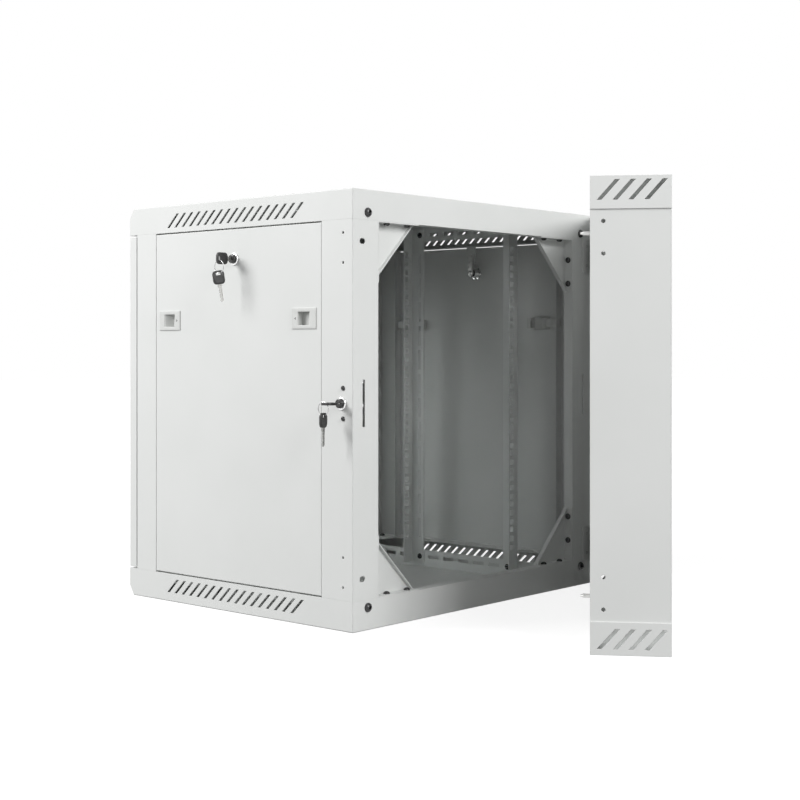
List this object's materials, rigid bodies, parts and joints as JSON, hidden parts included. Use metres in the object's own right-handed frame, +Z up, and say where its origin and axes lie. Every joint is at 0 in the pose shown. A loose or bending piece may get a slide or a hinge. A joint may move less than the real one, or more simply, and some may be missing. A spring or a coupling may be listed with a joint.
{
  "type": "wall mount network cabinet",
  "caption": "Double-section wall cabinet with rack rails, swung open on its wall section, with vented frames, lockable side panels, glass door and keys.",
  "frame": {"origin": "centre of the four wall-fixing holes, on the wall section's face that meets the wall", "axes": "+Z up; +X across the main body toward its free, locking side; +Y from the main body's door toward its rear; the wall section stands open by 33.5 degrees about the vertical hinge"},
  "size_m": [0.7019, 0.9371, 0.635],
  "materials": {
    "grey_paint": "satin, fine powder-coat texture",
    "latch_grey": "matte",
    "bolt_black": "black zinc, satin",
    "zinc_steel": "zinc plated",
    "bezel_chrome": "polished",
    "barrel_black": "black, semi-gloss",
    "key_black": "moulded black bow on a steel blade",
    "ring_steel": "bright spring steel",
    "glass": "clear tempered, slightly grey",
    "gasket_rubber": "matte foam"
  },
  "bodies": {
    "wall_section": {"section_back_plate": "grey_paint", "section_bottom_cap": "grey_paint", "section_entry_cover": "grey_paint", "section_hinge_leaves": "grey_paint", "section_locating_pins": "zinc_steel", "section_side_free": "grey_paint", "section_side_hinge": "grey_paint", "section_top_cap": "grey_paint", "hinge_pins": "zinc_steel"},
    "main_body": {"bottom_frame": "grey_paint", "cable_entry_covers": "grey_paint", "depth_channel_bottom_left": "grey_paint", "depth_channel_bottom_right": "grey_paint", "depth_channel_top_left": "grey_paint", "depth_channel_top_right": "grey_paint", "frame_bolts": "bolt_black", "front_post_left": "grey_paint", "front_post_right": "grey_paint", "gusset_bottom_left": "grey_paint", "gusset_bottom_right": "grey_paint", "gusset_top_left": "grey_paint", "gusset_top_right": "grey_paint", "latch_spring_holders": "latch_grey", "main_hinge_leaves": "grey_paint", "rack_rail_front_left": "grey_paint", "rack_rail_front_right": "grey_paint", "rack_rail_rear_left": "grey_paint", "rack_rail_rear_right": "grey_paint", "rail_bolts": "bolt_black", "rear_lock_body": "bezel_chrome", "rear_post_left": "grey_paint", "rear_post_right": "grey_paint", "side_lock_body_left": "bezel_chrome", "side_lock_body_right": "bezel_chrome", "side_panel_left": "grey_paint", "side_panel_right": "grey_paint", "top_frame": "grey_paint"},
    "rear_lock": {"rear_lock_barrel": "barrel_black", "rear_lock_hook": "zinc_steel", "rear_key": "key_black"},
    "rear_ring": {"rear_key_ring": "ring_steel"},
    "rear_spare": {"rear_spare_key": "key_black"},
    "side_lock_right": {"side_lock_barrel_right": "barrel_black", "side_key": "key_black"},
    "side_ring": {"side_key_ring": "ring_steel"},
    "side_spare": {"side_spare_key": "key_black"},
    "side_lock_left": {"side_lock_barrel_left": "barrel_black"},
    "door_lock": {"door_lock_barrel": "barrel_black"},
    "door": {"door_frame": "grey_paint", "door_glass": "glass", "door_gasket": "gasket_rubber", "door_glass_clips": "grey_paint", "door_hinge_pins": "zinc_steel", "door_lock_body": "bezel_chrome"},
    "latch_right_front": {"latch_slider_right_front": "latch_grey"},
    "latch_right_rear": {"latch_slider_right_rear": "latch_grey"},
    "latch_left_front": {"latch_slider_left_front": "latch_grey"},
    "latch_left_rear": {"latch_slider_left_rear": "latch_grey"}
  },
  "joints": [
    {"name": "main_swing", "type": "hinge", "parent": "wall_section", "child": "main_body", "pos_m": [-0.1932, -0.25799, 0], "axis": [0, 0, -1], "range_deg": [-33.5, 66.5]},
    {"name": "door_swing", "type": "hinge", "parent": "main_body", "child": "door", "pos_m": [-0.1817, -0.75749, 0], "axis": [0, 0, -1], "range_deg": [0, 110]},
    {"name": "door_lock_turn", "type": "hinge", "parent": "door", "child": "door_lock", "pos_m": [0.3463, -0.76449, 0], "axis": [0, 1, 0], "range_deg": [0, 90]},
    {"name": "rear_lock_turn", "type": "hinge", "parent": "main_body", "child": "rear_lock", "pos_m": [0.4103, -0.28149, 0.0095], "axis": [1, 0, 0], "range_deg": [0, 90]},
    {"name": "rear_ring_swing", "type": "hinge", "parent": "rear_lock", "child": "rear_ring", "pos_m": [0.4413, -0.28799, 0.0126], "axis": [0, 1, 0], "range_deg": [-12, 12]},
    {"name": "rear_spare_swing", "type": "hinge", "parent": "rear_ring", "child": "rear_spare", "pos_m": [0.4413, -0.28799, -0.0074], "axis": [0, 1, 0], "range_deg": [-25, 25]},
    {"name": "side_lock_right_turn", "type": "hinge", "parent": "main_body", "child": "side_lock_right", "pos_m": [0.4103, -0.50899, 0.2255], "axis": [1, 0, 0], "range_deg": [0, 90]},
    {"name": "side_ring_swing", "type": "hinge", "parent": "side_lock_right", "child": "side_ring", "pos_m": [0.4413, -0.50899, 0.22267], "axis": [0, -1, 0], "range_deg": [-10, 35]},
    {"name": "side_spare_swing", "type": "hinge", "parent": "side_ring", "child": "side_spare", "pos_m": [0.4413, -0.50899, 0.20267], "axis": [0, -1, 0], "range_deg": [-12, 30]},
    {"name": "side_lock_left_turn", "type": "hinge", "parent": "main_body", "child": "side_lock_left", "pos_m": [-0.1897, -0.50899, 0.2255], "axis": [-1, 0, 0], "range_deg": [-90, 0]},
    {"name": "latch_right_front_slide", "type": "slide", "parent": "main_body", "child": "latch_right_front", "axis": [0, 1, 0], "range_m": [0, 0.008], "stiffness_N_per_m": 250},
    {"name": "latch_right_rear_slide", "type": "slide", "parent": "main_body", "child": "latch_right_rear", "axis": [0, -1, 0], "range_m": [0, 0.008], "stiffness_N_per_m": 250},
    {"name": "latch_left_front_slide", "type": "slide", "parent": "main_body", "child": "latch_left_front", "axis": [0, 1, 0], "range_m": [0, 0.008], "stiffness_N_per_m": 250},
    {"name": "latch_left_rear_slide", "type": "slide", "parent": "main_body", "child": "latch_left_rear", "axis": [0, -1, 0], "range_m": [0, 0.008], "stiffness_N_per_m": 250}
  ]
}
